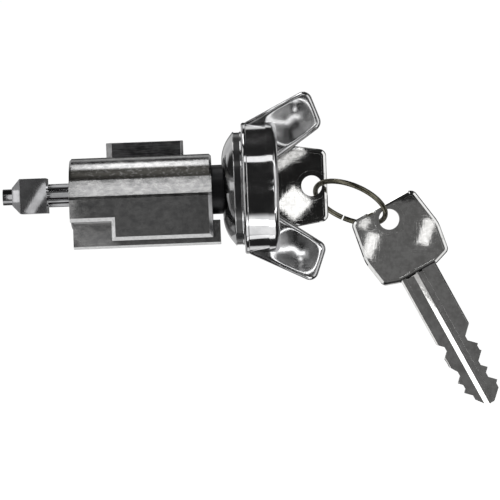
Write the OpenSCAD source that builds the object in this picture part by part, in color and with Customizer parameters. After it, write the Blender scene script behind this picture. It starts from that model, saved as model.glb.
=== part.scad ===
// Lock cylinder for a steering column, with a winged knob, a key in it, a wire ring and a spare key.
// +X runs along the lock's axis towards the key, +Z is up, and the origin is on the barrel's front face.

/* [Key blade] */
// Width of the blade over its two edges
blade_w = 9.75; // [9:0.05:10.5]
// Length of the blade from the shoulder to the tip
blade_len = 37.1; // [34:0.1:42]
// Thickness of the blade
blade_t = 2.2; // [2:0.05:2.4]
// Pitch of the cuts along the blade, and of the pins
cut_pitch = 3.5; // [3.2:0.05:3.8]
// Length of the flat at the bottom of each cut
cut_flat = 1.2; // [0.8:0.1:1.6]
// Distance from the last cut to the blade's tip
cut_from_tip = 3.1; // [2.6:0.1:4]
// Depths of the cuts on the pin side, from the shoulder on
pin_cuts = [2.4, 0.9, 2.5, 2.3, 1.3]; // [0.1:0.1:2.6]
// Depths of the cuts on the idle side, from the shoulder on
idle_cuts = [1.5, 0.1, 1.4, 1.0, 1.9]; // [0.1:0.1:2.6]
// Width of the blade's nose at the very tip
nose_w = 2; // [1:0.1:3]
// Depth of the wide groove in each face
groove_depth = 0.55; // [0.3:0.05:0.65]
// Distance from the idle edge to the near side of the wide groove
groove_start = 1.3; // [1:0.1:1.8]
// Distance from the idle edge to the far side of the wide groove
groove_end = 4.5; // [4:0.1:4.7]
// Width of the sloped wall on the wide groove's far side
groove_slope = 1.1; // [0.5:0.1:1.4]
// Distance from the idle edge to the narrow groove
slot_start = 5; // [4.9:0.1:5.5]
// Width of the narrow groove
slot_w = 1; // [0.6:0.1:1.2]
// Depth of the narrow groove
slot_depth = 0.3; // [0.15:0.05:0.4]
// Bevel along the blade's edges
blade_bevel = 0.35; // [0.2:0.05:0.5]

/* [Key bow] */
// Length of the bow from its far end to the shoulder
bow_len = 19.2; // [18:0.1:22]
// Width of the bow at its far end
bow_far_w = 18.2; // [16:0.1:19]
// Width of the bow over its bulging sides
bow_w = 20.8; // [20:0.1:22]
// Width of the bow over the corners next to the shoulder
bow_near_w = 19; // [17:0.1:19.6]
// Distance from the shoulder to the widest place of the bow
belly_at = 8.7; // [8.2:0.1:9.5]
// Radius of the bow's bulging sides
belly_r = 8; // [5:0.5:8]
// Thickness of the bow over its rims
bow_t = 2.3; // [2.2:0.05:2.6]
// Corner radius at the far end
bow_far_corner = 1.8; // [1.4:0.1:3]
// Corner radius next to the shoulder
bow_near_corner = 1.6; // [1.4:0.1:2.4]
// Slope of the shoulder from the blade out to the corners
shoulder_drop = 1; // [0.4:0.1:1.6]
// Bevel round the bow's outline
bow_bevel = 0.45; // [0.2:0.05:0.6]
// Width of the raised rim round each face
bow_rim = 1.2; // [0.8:0.1:1.3]
// Depth of the sunk field inside the rim
bow_field = 0.22; // [0.1:0.02:0.3]
// Radius of the ring hole
hole_r = 2.6; // [2.4:0.1:3]
// Distance from the bow's far end to the hole's centre
hole_inset = 3.9; // [3.8:0.1:5]
// Width of the raised rim round the hole
hole_rim = 1.2; // [0.8:0.1:1.4]

/* [Plug] */
// Metal left between the blade's edges and the plug's surface
plug_web = 1.275; // [1.1:0.025:2]
// Reach of the plug into the drum of the knob
plug_nose = 1.7; // [1.4:0.1:4]
// Radial clearance of what turns in the housing
run_fit = 0.05; // [0.02:0.01:0.1]
// Clearance round the blade in the keyway
key_fit = 0.12; // [0.08:0.01:0.2]
// Gap between the plug's front face and the key's shoulder, and beyond the key's tip
key_gap = 0.15; // [0.1:0.05:0.4]
// Metal between the end of the keyway and the tail's socket
tip_wall = 1.2; // [1:0.1:4]

/* [Pins] */
// Radius of the key pins and driver pins
pin_r = 1.2; // [1:0.05:1.35]
// Radial clearance of the pins in their holes
pin_fit = 0.05; // [0.03:0.01:0.1]
// Height of the cone on each key pin
pin_cone = 0.6; // [0.3:0.1:0.8]
// Clearance between the key pins and the highest ridge that passes under them
ridge_gap = 0.15; // [0.1:0.05:0.3]
// Length of each driver pin
driver_len = 3.2; // [2.5:0.1:5]
// Length of each driver spring as fitted
driver_spring_len = 3.1; // [2.5:0.1:5]
// Radius of the spring wire
spring_wire = 0.2; // [0.14:0.02:0.24]
// Turns of each spring
spring_turns = 5; // [3:1:6]
// Thickness of the strip that closes the pin chambers
cover_t = 1.1; // [0.8:0.1:2]
// Width of the strip that closes the pin chambers
cover_w = 4.6; // [3.6:0.1:5.4]

/* [Housing] */
// Wall of the barrel round the plug
barrel_wall = 2.8; // [2.4:0.1:4]
// Chamfer on the ends of the barrel
barrel_chamfer = 0.5; // [0.2:0.1:1]
// Thickness of the wall behind the plug
rear_wall = 3.5; // [3:0.1:6]
// Distance that the flat face of the side block stands outside the barrel
block_stand = 0.7; // [0.4:0.1:2]
// Depth of the side block below the axis
block_drop = 11.9; // [10.5:0.1:12.8]
// Chamfer along the bottom, the front end and the notch of the side block
block_chamfer = 0.9; // [0.4:0.1:1.6]
// Length of the notch at the rear foot of the side block
notch_len = 10.25; // [6:0.25:16]
// Height of the notch at the rear foot of the side block
notch_h = 4.9; // [3:0.1:6]
// Height above the axis where the shoulder rib leaves the barrel
rib_top = 3.2; // [2.6:0.1:3.8]
// Distance of the rib's crest below the axis
rib_crest = 0.8; // [0.4:0.1:1.2]
// Distance that the rib's crest stands outside the side block
rib_stand = 1.8; // [1:0.1:2.4]
// Height of the rib's underside
rib_under = 0.7; // [0.4:0.1:1.4]
// Width of the chamber block that holds the driver pins
chamber_w = 8.4; // [7:0.1:12]
// Reach of the chamber block in front of the barrel
chamber_lead = 1.75; // [0.5:0.05:2]
// Set-back of the chamber block from the barrel's rear face
chamber_setback = 0.4; // [0.2:0.1:3]
// Chamfer along the bottom of the chamber block
chamber_chamfer = 0.6; // [0.2:0.1:1.2]

/* [Latch] */
// Length of the latch along the lock
latch_len = 19.5; // [14:0.5:21]
// Distance from the barrel's front face to the latch
latch_setback = 7; // [5:0.5:8.5]
// Thickness of the latch plate
latch_t = 2.2; // [1.8:0.1:2.8]
// Height of the latch above the barrel
latch_rise = 3.9; // [3:0.1:5]
// Metal left on the latch's near face in front of its slot
latch_skin = 0.8; // [0.6:0.1:1]
// Travel of the latch when it is pressed in
latch_travel = 3.6; // [2.5:0.1:4]
// Height of the latch's foot above the axis
latch_foot = 3.4; // [2.5:0.1:4]
// Clearance round the latch in its pocket
latch_fit = 0.1; // [0.05:0.01:0.2]
// Chamfer on the latch's rear corner
latch_rear_chamfer = 1.4; // [0.4:0.1:1.6]
// Chamfer on the latch's front corner
latch_front_chamfer = 0.6; // [0.3:0.1:1.6]
// Metal between the plug's bore and the latch's pocket
pocket_wall = 0.8; // [0.6:0.1:2]
// Length of each latch spring at rest
latch_spring_len = 7.6; // [6.5:0.1:9]
// Spacing of the two latch springs
latch_spring_gap = 12; // [8:0.5:12.5]
// Mean radius of the latch springs
latch_spring_r = 0.75; // [0.5:0.05:0.8]
// Radius of the latch's stop pin
latch_pin_r = 0.75; // [0.5:0.05:1]
// Wall of the lug round the latch's pocket
lug_wall = 1.8; // [1.4:0.1:3]
// Height of the lug above the axis
lug_top = 7.4; // [6.8:0.1:8]
// Chamfer along the lug's outer edges
lug_chamfer = 1; // [0.4:0.1:1.3]

/* [Tail] */
// Radius of the tail shaft
tail_r = 2.9; // [2.6:0.1:3.4]
// Length of the shaft between the housing and the drive block
tail_reach = 5.9; // [4:0.1:12]
// Radius of the four flutes along the shaft
flute_r = 1.35; // [0.8:0.05:1.5]
// Width across the flats of the square drive block
drive_w = 8.7; // [7:0.1:11]
// Length of the drive block without its tapered end
drive_len = 6.6; // [5:0.1:12]
// Length of the tapered end of the drive block
cone_len = 2.1; // [1.5:0.1:4]
// Radius of the round pilot at the very end
pilot_r = 2; // [1.5:0.1:2.8]
// Length of the round pilot
pilot_len = 2.4; // [1.5:0.1:5]
// Length of the square tang
tang_len = 2.7; // [2.4:0.1:4]
// Radius of the pin through the tang
tail_pin_r = 0.75; // [0.5:0.05:0.9]
// Thickness of the retaining clip
clip_t = 0.8; // [0.5:0.1:1]
// Outer radius of the retaining clip
clip_r = 4.6; // [4.2:0.1:5]
// Depth of the clip's groove in the shaft
clip_groove = 0.8; // [0.5:0.1:1.1]

/* [Bezel] */
// Gap between the barrel's front face and the bezel
neck_len = 2.6; // [2.4:0.1:5]
// Length of the bezel along the axis
bezel_len = 5.15; // [4.6:0.05:8]
// Outer radius of the bezel
bezel_r = 14.2; // [13.8:0.1:15.5]
// Radius where the bezel's rear face starts to curve
bezel_flat_r = 7; // [6.9:0.1:9]
// Radius of the edge between the curved face and the bezel's rim
bezel_edge_r = 12.9; // [12.4:0.1:13.2]
// Depth of the curved face
bezel_dome = 2; // [1.2:0.1:2.2]
// Distance from the bezel's rear face to its full radius
bezel_step = 3; // [2.4:0.1:3.2]
// Depth of the dark band's groove
band_depth = 0.2; // [0.1:0.05:0.3]
// Width of the dark band
band_w = 1.5; // [1:0.1:1.7]
// Wall of the bezel round the knob's hub
bezel_wall = 1.5; // [1.2:0.1:2.4]
// Thickness of the bezel's web
bezel_web = 2.9; // [2.6:0.1:3.1]

/* [Knob] */
// Radius of the drum
drum_r = 16.4; // [15.8:0.1:18]
// Width of the drum along the axis
drum_w = 8.75; // [8:0.05:12]
// Fillet on the drum's rear edge
drum_rear_fillet = 0.9; // [0.4:0.1:1.1]
// Fillet on the drum's front edge
drum_front_fillet = 2.4; // [1:0.1:2.6]
// Width of the raised rim beside the drum's band
drum_rim = 1.1; // [1:0.1:1.6]
// Depth of the drum's sunk band
drum_band = 0.3; // [0.1:0.05:0.5]
// Span of the two wings from tip to tip
wing_span = 47; // [44:0.5:54]
// Reach of the wings in front of the drum
wing_reach = 11.25; // [9:0.25:14]
// Distance from a wing's front to the front of its tip corner
wing_sweep = 1.95; // [1:0.05:3]
// Radius of a wing's tip corner
wing_tip_r = 2.2; // [1.8:0.1:3]
// Radius of a wing's inner corner
wing_heel_r = 2.3; // [1.5:0.1:2.6]
// Height of the inner corner's centre above the axis
wing_heel_z = 15.9; // [15:0.1:17]
// Slope of a wing's outer edge in degrees
wing_outer_slope = 26.4; // [22:0.2:28]
// Slope of a wing's inner edge in degrees
wing_inner_slope = 34.5; // [30:0.5:38]
// Thickness of the wings
wing_t = 6; // [5:0.1:7]
// Bevel round the wings
wing_bevel = 1.2; // [0.6:0.1:1.4]
// Radius of the thumb dish in each face of a wing
dish_r = 11; // [8:0.5:12]
// Depth of the thumb dish
dish_depth = 1; // [0.3:0.1:1.2]
// Length of the dish between its round ends
dish_len = 2; // [1:0.5:3]
// Clearance of the key's bow in the knob's mouth
mouth_fit = 0.35; // [0.2:0.05:0.6]
// Radius of the pin through the knob's hub
knob_pin_r = 0.8; // [0.5:0.05:0.95]

/* [Ring] */
// Radius of the ring's centre line
ring_r = 9.3; // [9:0.1:12]
// Radius of the ring's wire
wire_r = 0.65; // [0.5:0.05:0.7]
// Angle of the ring's hang below the axis in degrees
ring_dip = 25.6; // [20:0.2:40]
// Turn of the ring out of the keys' plane in degrees
ring_lean = 64.5; // [60:0.5:75]
// Width of the slit where the wire's ends meet
ring_slit = 0.35; // [0.2:0.05:0.6]
// Distance from each hole's centre to the wire
hang_in = 1.25; // [0.9:0.05:1.3]
// Angle of the spare key below the axis in degrees
spare_angle = 63.2; // [50:0.2:75]

/* [Hidden] */
pin_count = len(pin_cuts);
$fn = 64;
// Small gap between pieces that are seated together, and overlap of cuts past a face
seat = 0.05;
past = 1;

// Places along the axis
x_bezel = neck_len;
x_drum = x_bezel + bezel_len;
x_front = x_drum + drum_w;
plug_front = x_drum + plug_nose;
key_stop = plug_front + key_gap;
keyway_end = key_stop - blade_len - key_gap;
socket_end = keyway_end - tip_wall;
plug_rear = socket_end - tang_len;
bore_floor = plug_rear - 4 * seat;
x_rear = bore_floor - rear_wall;
x_drive = x_rear - tail_reach;
x_cone = x_drive - drive_len;
x_pilot = x_cone - cone_len;
x_tip = x_pilot - pilot_len;
hub_x = x_bezel + bezel_web;
knob_pin_x = (hub_x + x_drum) / 2;
tail_pin_x = (socket_end + plug_rear) / 2;

// Radii
plug_r = blade_w / 2 + plug_web;
bore_r = plug_r + run_fit;
barrel_r = bore_r + barrel_wall;
hub_r = bezel_r - bezel_wall;
groove_r = tail_r - clip_groove;
tang_w = 1.38 * tail_r;
recess_r = clip_r + 4 * seat;

// Pins: places along the axis, and the heights where the plug turns free of the drivers
blade_half = blade_w / 2;
cut_s = [for (i = [0:pin_count - 1]) blade_len - cut_from_tip - (pin_count - 1 - i) * cut_pitch];
pin_x = [for (s = cut_s) key_stop - s];
last = pin_count - 1;
ridge_run = cut_pitch - cut_flat;
function ridge(cuts, i) = max(0, (cuts[i] + cuts[i + 1] - ridge_run) / 2);
function passing(i) = min([for (j = [i:last]) j < last ? ridge(pin_cuts, j) : pin_cuts[last]]);
function pin_top(i) = blade_half - max(passing(i) - ridge_gap, 0);
pin_base = sqrt(plug_r * plug_r - pin_r * pin_r);
driver_top = bore_r + seat / 2;
spring_top = driver_top + driver_len + seat;
cover_top = spring_top + driver_spring_len + seat;
chamber_drop = cover_top + cover_t;
pin_hole_r = pin_r + pin_fit;
coil_r = pin_r - spring_wire;

// Housing
block_face = barrel_r + block_stand;
rib_y = block_face + rib_stand;
rib_root = sqrt(barrel_r * barrel_r - rib_top * rib_top);
cover_x = [pin_x[last] - cover_w / 2, pin_x[0] + cover_w / 2];
lead_top = bore_r + barrel_wall / 2;

// Latch
latch_x = [-latch_setback - latch_len, -latch_setback];
latch_y = bore_r + pocket_wall + latch_fit;
latch_top = barrel_r + latch_rise;
latch_mid = (latch_x[0] + latch_x[1]) / 2;
pocket_x = [latch_x[0] - latch_fit, latch_x[1] + latch_fit];
pocket_y = [latch_y - latch_fit, latch_y + latch_t + latch_fit];
pocket_floor = latch_foot - latch_spring_len - 2 * seat;
stop_z = latch_foot + 2.4 * latch_pin_r;
slot_y = latch_y + latch_skin;
lug_face = pocket_y[1] + lug_wall;
lug_x = [pocket_x[0] - lug_wall, pocket_x[1] + lug_wall];
lug_drop = -pocket_floor + lug_wall;

// Wings
tip_at = [x_front + wing_reach - wing_sweep - wing_tip_r, wing_span / 2 - wing_tip_r];
heel_at = [x_front + wing_reach - wing_heel_r, wing_heel_z];
outer_root_x = x_drum + wing_tip_r + 4 * seat;
inner_root_x = x_front - wing_heel_r;
outer_root = [outer_root_x, tip_at[1] - (tip_at[0] - outer_root_x) * tan(wing_outer_slope)];
inner_root = [inner_root_x, heel_at[1] - (heel_at[0] - inner_root_x) * tan(wing_inner_slope)];
wing_corners = [
    [outer_root, wing_tip_r],
    [tip_at, wing_tip_r],
    [heel_at, wing_heel_r],
    [inner_root, wing_heel_r]
];
dish_slope = (wing_outer_slope + wing_inner_slope) / 2;
dish_at = (outer_root + 2 * tip_at + 2 * heel_at + inner_root) / 6;

// Ring and keys
hang_dir = [cos(ring_dip), 0, -sin(ring_dip)];
key_hole = [key_stop + bow_len - hole_inset, 0, 0];
ring_mid = key_hole + (ring_r + hang_in) * hang_dir;
spare_hole = key_hole + 2 * (ring_r + hang_in) * hang_dir;
slit_angle = ring_slit / ring_r * 180 / PI;

// Solid of revolution about the X axis: the outline is [radius, place along the axis]
module turned() {
    rotate([0, 90, 0]) rotate_extrude($fn = 96) children();
}

// Round bar along X with chamfered ends
module bar(r, from, to, chamfer) {
    turned() polygon([
        [0, from], [r - chamfer, from], [r, from + chamfer],
        [r, to - chamfer], [r - chamfer, to], [0, to]
    ]);
}

// Plain cylinder along X
module rod(r, from, to) {
    translate([from, 0, 0]) rotate([0, 90, 0]) cylinder(r = r, h = to - from);
}

// Box between two places on each axis
module block(x, y, z) {
    translate([x[0], y[0], z[0]]) cube([x[1] - x[0], y[1] - y[0], z[1] - z[0]]);
}

// Outline in Y and Z, drawn out along X
module along_x(from, to) {
    translate([from, 0, 0]) rotate([90, 0, 90]) linear_extrude(to - from) children();
}

// Outline in X and Y, drawn out along Z
module along_z(from, to) {
    translate([0, 0, from]) linear_extrude(to - from) children();
}

// Closed coil along Z, with its flat ends at from and to
module coil(at, r, wire, turns, from, to) {
    sides = 6;
    steps = turns * 14;
    rise = (to - from - 2 * wire) / steps;
    points = [
        for (k = [0:steps], j = [0:sides - 1])
            let (a = 360 * turns * k / steps, b = 360 * j / sides, d = r + wire * cos(b))
                [d * cos(a), d * sin(a), from + wire + k * rise + wire * sin(b)]
    ];
    skin = [
        for (k = [0:steps - 1], j = [0:sides - 1])
            let (n = (j + 1) % sides)
                [k * sides + j, k * sides + n, (k + 1) * sides + n, (k + 1) * sides + j]
    ];
    start = [for (j = [sides - 1:-1:0]) j];
    end = [for (j = [0:sides - 1]) steps * sides + j];
    translate(at) polyhedron(points, concat([start], skin, [end]));
}

// Half-section of the blade as depth below a face and distance from the middle, with play added
function blade_face(play) = let (
    w = blade_half + play,
    near = groove_start - blade_half + play,
    far = groove_end - blade_half - play,
    slot = slot_start - blade_half
) [
    [blade_bevel, -w],
    [0, -w + blade_bevel],
    [0, near],
    [groove_depth, near],
    [groove_depth, far - groove_slope],
    [0, far],
    [0, slot + play],
    [slot_depth, slot + play],
    [slot_depth, slot + slot_w - play],
    [0, slot + slot_w - play],
    [0, w - blade_bevel],
    [blade_bevel, w]
];

// Whole section of the blade: the second face is the first one turned half round
function blade_section(play) = let (face = blade_face(play), half = blade_t / 2 + play) concat(
    [for (p = face) [half - p[0], p[1]]],
    [for (p = face) [p[0] - half, -p[1]]]
);

// Edge of the blade with its row of cuts, as distance from the shoulder and from the middle
function cut_edge(cuts) = concat(
    [[0, blade_half], [cut_s[0] - cut_flat / 2 - cuts[0], blade_half]],
    [for (i = [0:last]) each let (s = cut_s[i] + cut_flat / 2, depth = cuts[i]) concat(
        [[s - cut_flat, blade_half - depth], [s, blade_half - depth]],
        i < last ? [[s + depth - ridge(cuts, i), blade_half - ridge(cuts, i)]] : []
    )],
    [[blade_len, nose_w / 2]]
);

function mirrored(edge) = [for (i = [len(edge) - 1:-1:0]) [edge[i][0], -edge[i][1]]];

module key_blade() {
    root = bow_rim;
    intersection() {
        translate([-root, 0, 0]) rotate([90, 0, 90]) linear_extrude(blade_len + root + past)
            polygon([for (p = blade_section(0)) [p[1], p[0]]]);
        translate([0, 0, -blade_t]) linear_extrude(2 * blade_t) polygon(concat(
            [[-root, -blade_half], [-root, blade_half]],
            cut_edge(pin_cuts),
            mirrored(cut_edge(idle_cuts))
        ));
    }
}

// Circles that the bow's outline is drawn round: distance from the shoulder, half width and radius of each
bow_edge = [
    [bow_len, bow_far_w / 2, bow_far_corner],
    [belly_at + belly_r, bow_w / 2, belly_r],
    [shoulder_drop + 2 * bow_near_corner, bow_near_w / 2, bow_near_corner],
    [2 * bow_near_corner, blade_half + bow_near_corner, bow_near_corner]
];
bow_corners = [
    for (side = [-1, 1], e = bow_edge) [[e[2] - e[0], side * (e[1] - e[2])], e[2]]
];

module bow_plate() {
    hull() for (c = bow_corners) translate(c[0]) {
        cylinder(r = c[1], h = bow_t - 2 * bow_bevel, center = true, $fn = 48);
        cylinder(r = c[1] - bow_bevel, h = bow_t, center = true, $fn = 48);
    }
}

module bow_recess() {
    linear_extrude(bow_field + past) difference() {
        hull() for (c = bow_corners) translate(c[0]) circle(r = c[1] - bow_rim, $fn = 48);
        translate([hole_inset - bow_len, 0]) circle(r = hole_r + hole_rim);
    }
}

// Key with the blade along +X, the pin-side cuts on +Y and the ring hole at the origin
module key_form() {
    translate([bow_len - hole_inset, 0, 0]) difference() {
        union() {
            difference() {
                bow_plate();
                for (face = [0, 180]) rotate([face, 0, 0])
                    translate([0, 0, bow_t / 2 - bow_field]) bow_recess();
            }
            key_blade();
        }
        translate([hole_inset - bow_len, 0, 0])
            cylinder(r = hole_r, h = bow_t + 2 * past, center = true);
    }
}

// Key in the plane of the axis, at an angle below it
module hung_key(at, angle) {
    translate(at) rotate([0, angle, 0]) rotate([90, 0, 0]) key_form();
}

module key() {
    color("gainsboro") hung_key(key_hole, 180);
}

module spare_key() {
    color("gainsboro") hung_key(spare_hole, spare_angle);
}

module key_ring() {
    color("dimgray") translate(ring_mid)
        rotate([0, ring_dip, 0]) rotate([90 + ring_lean, 0, 0]) rotate([0, 0, slit_angle / 2 - 90])
            rotate_extrude(angle = 360 - slit_angle) translate([ring_r, 0]) circle(r = wire_r);
}

// Flat-faced block on the near side, with its bottom edge and its front end chamfered
module faced_block(from, drop, rear_edge) {
    c = block_chamfer;
    intersection() {
        along_x(from, 0) polygon([
            [0, -drop], [c - block_face, -drop], [-block_face, c - drop], [-block_face, 0], [0, 0]
        ]);
        along_z(-drop - past, past) polygon(concat(
            [[from, 0]], rear_edge, [[-c, -block_face], [0, c - block_face], [0, 0]]
        ));
    }
}

module side_block() {
    notch_x = x_rear + notch_len;
    faced_block(x_rear, block_drop - notch_h, [[x_rear, -block_face]]);
    faced_block(notch_x, block_drop, [
        [notch_x, block_chamfer - block_face], [notch_x + block_chamfer, -block_face]
    ]);
    along_x(x_rear, 0) polygon([
        [0, -rib_crest - rib_under], [0, rib_top], [-rib_root, rib_top],
        [-rib_y, -rib_crest], [-block_face, -rib_crest - rib_under]
    ]);
}

module chamber_block() {
    half = chamber_w / 2;
    c = chamber_chamfer;
    foot = [[c - half, -chamber_drop], [half - c, -chamber_drop], [half, c - chamber_drop]];
    along_x(x_rear + chamber_setback, 0)
        polygon(concat(foot, [[half, 0], [-half, 0], [-half, c - chamber_drop]]));
    along_x(-chamber_lead, chamber_lead)
        polygon(concat(foot, [[half, -lead_top], [-half, -lead_top], [-half, c - chamber_drop]]));
}

module latch_lug() {
    c = lug_chamfer;
    along_x(lug_x[0], lug_x[1]) polygon([
        [0, -lug_drop], [lug_face - c, -lug_drop], [lug_face, c - lug_drop],
        [lug_face, lug_top - c], [lug_face - c, lug_top], [0, lug_top]
    ]);
}

module latch_pin_form() {
    translate([latch_mid, slot_y + latch_fit, stop_z]) rotate([-90, 0, 0])
        cylinder(r = latch_pin_r, h = lug_face - slot_y - latch_fit);
}

module housing() {
    color("silver") difference() {
        union() {
            bar(barrel_r, x_rear, 0, barrel_chamfer);
            side_block();
            chamber_block();
            latch_lug();
        }
        rod(bore_r, bore_floor, chamber_lead + past);
        rod(tail_r + run_fit, x_rear - past, bore_floor + past);
        rod(recess_r, x_rear - past, x_rear + clip_t + 6 * seat);
        for (x = pin_x) translate([x, 0, -cover_top - past])
            cylinder(r = pin_hole_r, h = cover_top + past - plug_r / 2);
        block(cover_x, [-cover_w / 2, cover_w / 2], [-chamber_drop - past, -cover_top]);
        block(pocket_x, pocket_y, [pocket_floor, latch_top]);
        latch_pin_form();
    }
}

module chamber_cover() {
    color("darkgray") block(cover_x, [-cover_w / 2, cover_w / 2], [-chamber_drop, -cover_top]);
}

module driver_pin(i) {
    color("goldenrod") translate([pin_x[i], 0, -driver_top - driver_len])
        cylinder(r = pin_r, h = driver_len);
}

module driver_spring(i) {
    color("gray")
        coil([pin_x[i], 0, 0], coil_r, spring_wire, spring_turns, -cover_top + seat / 2, -spring_top);
}

module key_pin(i) {
    color("goldenrod") translate([pin_x[i], 0, -pin_base]) {
        cylinder(r = pin_r, h = pin_base - pin_top(i) - pin_cone);
        translate([0, 0, pin_base - pin_top(i) - pin_cone])
            cylinder(r1 = pin_r, r2 = pin_r - pin_cone, h = pin_cone);
    }
}

module latch() {
    rear = latch_rear_chamfer;
    front = latch_front_chamfer;
    slot_r = latch_pin_r + latch_fit;
    color("#45484c") difference() {
        along_z(latch_foot, latch_top) polygon([
            [latch_x[0], latch_y + latch_t], [latch_x[0], latch_y + rear], [latch_x[0] + rear, latch_y],
            [latch_x[1] - front, latch_y], [latch_x[1], latch_y + front], [latch_x[1], latch_y + latch_t]
        ]);
        for (z = [stop_z, stop_z + latch_travel])
            translate([latch_mid, slot_y, z]) rotate([-90, 0, 0]) cylinder(r = slot_r, h = latch_t);
        block(
            [latch_mid - slot_r, latch_mid + slot_r],
            [slot_y, slot_y + latch_t],
            [stop_z, stop_z + latch_travel]
        );
    }
}

module latch_pin() {
    color("gray") latch_pin_form();
}

module latch_spring(side) {
    color("gray") coil(
        [latch_mid + side * latch_spring_gap / 2, latch_y + latch_t / 2, 0],
        latch_spring_r, spring_wire, 2 * spring_turns, pocket_floor + seat, latch_foot - seat
    );
}

module tail_pin_form(r) {
    translate([tail_pin_x, -plug_r + past, 0]) rotate([-90, 0, 0])
        cylinder(r = r, h = 2 * (plug_r - past));
}

module knob_pin_form(to) {
    from = blade_t / 2 + past;
    translate([knob_pin_x, from, 0]) rotate([-90, 0, 0]) cylinder(r = knob_pin_r, h = to - from);
}

module plug() {
    socket = tang_w / 2 + seat;
    color("#3c3a36") difference() {
        bar(plug_r, plug_rear, plug_front, seat * 6);
        along_x(keyway_end, plug_front + past) polygon(blade_section(key_fit));
        block([plug_rear - past, socket_end], [-socket, socket], [-socket, socket]);
        for (x = pin_x) translate([x, 0, -plug_r - past])
            cylinder(r = pin_hole_r, h = plug_r + past - blade_half / 2);
        tail_pin_form(tail_pin_r);
        translate([tail_pin_x, 0, 0]) rotate([-90, 0, 0]) cylinder(r = tail_pin_r, h = plug_r + past);
        knob_pin_form(plug_r + past);
    }
}

// Drive block between its two flats, drawn out across it
module drive_flats() {
    half = drive_w / 2;
    end = pilot_r + 4 * seat;
    along_z(-drive_w, drive_w) polygon([
        [x_pilot, -end], [x_cone, -half], [x_drive, -half],
        [x_drive, half], [x_cone, half], [x_pilot, end]
    ]);
}

module tail_shaft() {
    tang = tang_w / 2;
    flute_at = tail_r + flute_r / 4;
    color("darkgray") difference() {
        union() {
            rod(pilot_r, x_tip, x_pilot + past);
            intersection() {
                drive_flats();
                rotate([90, 0, 0]) drive_flats();
            }
            rod(tail_r, x_drive - past, plug_rear);
            block([plug_rear - past, socket_end - seat], [-tang, tang], [-tang, tang]);
        }
        for (a = [45:90:315]) rotate([a, 0, 0]) translate([0, 0, flute_at])
            rod(flute_r, x_drive + 4 * seat, x_rear - 4 * seat);
        difference() {
            rod(tail_r + past, x_rear + seat, x_rear + clip_t + 3 * seat);
            rod(groove_r, x_rear, x_rear + 2 * clip_t);
        }
        tail_pin_form(tail_pin_r);
    }
}

module tail_pin() {
    color("gray") tail_pin_form(tail_pin_r);
}

module retaining_clip() {
    color("dimgray") difference() {
        rod(clip_r, x_rear + 2 * seat, x_rear + 2 * seat + clip_t);
        rod(groove_r + seat, x_rear - past, x_rear + 2 * clip_t);
        block([x_rear - past, x_rear + 2 * clip_t], [-groove_r, groove_r], [0, clip_r + past]);
    }
}

module bezel() {
    run = bezel_edge_r - bezel_flat_r;
    dome_r = (run * run + bezel_dome * bezel_dome) / (2 * bezel_dome);
    hole = plug_r + 2 * run_fit;
    lap = run / 10;
    rim_end = x_drum - seat;
    color("#8a8d90") turned() difference() {
        union() {
            translate([hole, x_bezel]) square([bezel_flat_r - hole + lap / 2, bezel_web]);
            intersection() {
                translate([bezel_flat_r, x_bezel + dome_r]) circle(r = dome_r, $fn = 128);
                translate([bezel_flat_r, x_bezel]) square([run, bezel_len - seat]);
            }
            polygon([
                [bezel_edge_r - lap, x_bezel + bezel_dome], [bezel_edge_r, x_bezel + bezel_dome],
                [bezel_r, x_bezel + bezel_step], [bezel_r, rim_end], [bezel_edge_r - lap, rim_end]
            ]);
        }
        translate([0, hub_x]) square([hub_r, bezel_len]);
        translate([bezel_r - band_depth, rim_end - band_w - 2 * band_depth]) square([past, band_w]);
    }
}

module drum_outline() {
    rear = drum_rear_fillet;
    front = drum_front_fillet;
    difference() {
        union() {
            translate([0, x_drum]) square([drum_r - front, drum_w]);
            translate([0, x_drum]) square([drum_r - rear, drum_w - front]);
            translate([0, x_drum + rear]) square([drum_r, drum_w - rear - front]);
            translate([drum_r - rear, x_drum + rear]) circle(r = rear);
            translate([drum_r - front, x_front - front]) circle(r = front);
            translate([0, hub_x + seat]) square([hub_r - seat / 2, bezel_len]);
        }
        translate([drum_r - drum_band, x_drum + drum_rim])
            square([past, drum_w - drum_rim - front - drum_band]);
    }
}

module wing() {
    difference() {
        hull() for (c = wing_corners) translate([c[0][0], 0, c[0][1]]) rotate([90, 0, 0]) {
            cylinder(r = c[1], h = wing_t - 2 * wing_bevel, center = true, $fn = 32);
            cylinder(r = c[1] - wing_bevel, h = wing_t, center = true, $fn = 32);
        }
        for (side = [-1, 1])
            translate([dish_at[0], side * (wing_t / 2 - dish_depth + dish_r), dish_at[1]])
                rotate([0, -dish_slope, 0]) {
                    rod(dish_r, -dish_len / 2, dish_len / 2);
                    for (end = [-1, 1]) translate([end * dish_len / 2, 0, 0]) sphere(r = dish_r);
                }
    }
}

module knob() {
    mouth_y = bow_t / 2 + mouth_fit;
    mouth_z = bow_w / 2 + mouth_fit;
    color("lightgray") difference() {
        union() {
            turned() drum_outline();
            wing();
            mirror([0, 0, 1]) wing();
        }
        rod(plug_r + seat, hub_x - past, plug_front + seat);
        block([plug_front, x_front + wing_reach], [-mouth_y, mouth_y], [-mouth_z, mouth_z]);
        knob_pin_form(hub_r + past);
    }
}

module knob_pin() {
    color("gray") knob_pin_form(hub_r - 4 * seat);
}

housing();
chamber_cover();
for (i = [1:pin_count]) {
    driver_pin(i - 1);
    driver_spring(i - 1);
    key_pin(i - 1);
}
latch();
latch_pin();
latch_spring(-1);  // latch_spring_1
latch_spring(1);  // latch_spring_2
plug();
tail_shaft();
tail_pin();
retaining_clip();
bezel();
knob();
knob_pin();
key();
key_ring();
spare_key();
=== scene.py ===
import math

import bmesh
import bpy
import numpy as np
from mathutils import Matrix, Vector


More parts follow.
